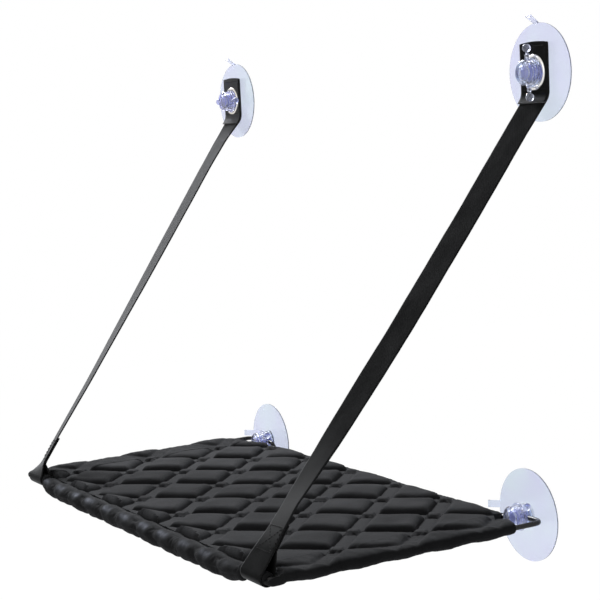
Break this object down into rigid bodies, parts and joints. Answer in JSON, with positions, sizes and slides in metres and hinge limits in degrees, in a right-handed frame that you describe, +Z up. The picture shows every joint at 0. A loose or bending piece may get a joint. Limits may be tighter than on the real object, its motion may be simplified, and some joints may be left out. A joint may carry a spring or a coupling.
{
  "type": "window mounted cat perch",
  "caption": "Quilted cat mat on a folding wire frame that hangs from a window: suction cups with wing nuts hold the frame and two webbing straps.",
  "frame": {"origin": "on the window's face, midway between the axes of the two lower suction cups, at their height", "axes": "+X along the window, to the right as seen from the room; +Y into the glass, away from the room; +Z up. Left and right in node names are as seen from the room."},
  "size_m": [0.694, 0.31, 0.5171],
  "materials": {
    "cup_pvc": "clear soft PVC with a faint lilac tint",
    "clear_plastic": "clear moulded plastic",
    "nut_plastic": "clear violet-blue moulded plastic",
    "webbing": "black woven webbing",
    "patch_webbing": "black sewn patch",
    "grommet_metal": "plated brass, bright",
    "wire_coating": "glossy black coating on steel wire",
    "joiner_steel": "plain steel sleeve",
    "quilt_fabric": "charcoal quilted polyester",
    "backing_fabric": "black woven backing",
    "hem_fabric": "charcoal polyester, gathered"
  },
  "bodies": {
    "window_mounts": {"suction_cup_upper_left": "cup_pvc", "suction_cup_upper_right": "cup_pvc", "suction_cup_lower_left": "cup_pvc", "suction_cup_lower_right": "cup_pvc", "stud_upper_left": "clear_plastic", "stud_upper_right": "clear_plastic", "stud_lower_left": "clear_plastic", "stud_lower_right": "clear_plastic", "strap_left": "webbing", "strap_right": "webbing", "strap_patch_left": "patch_webbing", "strap_patch_right": "patch_webbing", "grommet_left": "grommet_metal", "grommet_right": "grommet_metal", "grommet_washer_left": "grommet_metal", "grommet_washer_right": "grommet_metal"},
    "frame": {"frame_wire_left": "wire_coating", "frame_wire_right": "wire_coating", "front_wire_joiner": "joiner_steel", "rear_wire_joiner": "joiner_steel", "quilted_pad": "quilt_fabric", "pad_backing": "backing_fabric", "rear_hem": "hem_fabric", "front_hem": "hem_fabric", "side_hem_left": "hem_fabric", "side_hem_right": "hem_fabric"},
    "nut_upper_left": {"wing_nut_upper_left": "nut_plastic"},
    "nut_upper_right": {"wing_nut_upper_right": "nut_plastic"},
    "nut_lower_left": {"wing_nut_lower_left": "nut_plastic"},
    "nut_lower_right": {"wing_nut_lower_right": "nut_plastic"}
  },
  "joints": [
    {"name": "frame_fold", "type": "hinge", "parent": "window_mounts", "child": "frame", "pos_m": [0, -0.0088, 0], "axis": [-1, 0, 0], "range_deg": [0, 80], "deforming": ["strap_left", "strap_right"]},
    {"name": "nut_upper_left_turn", "type": "hinge", "parent": "window_mounts", "child": "nut_upper_left", "pos_m": [-0.302, -0.0096, 0.42], "axis": [0, -1, 0], "range_deg": [0, 720]},
    {"name": "nut_upper_right_turn", "type": "hinge", "parent": "window_mounts", "child": "nut_upper_right", "pos_m": [0.302, -0.0096, 0.42], "axis": [0, -1, 0], "range_deg": [0, 720]},
    {"name": "nut_lower_left_turn", "type": "hinge", "parent": "window_mounts", "child": "nut_lower_left", "pos_m": [-0.26, -0.0116, 0], "axis": [0, -1, 0], "range_deg": [0, 720]},
    {"name": "nut_lower_right_turn", "type": "hinge", "parent": "window_mounts", "child": "nut_lower_right", "pos_m": [0.26, -0.0116, 0], "axis": [0, -1, 0], "range_deg": [0, 720]}
  ]
}
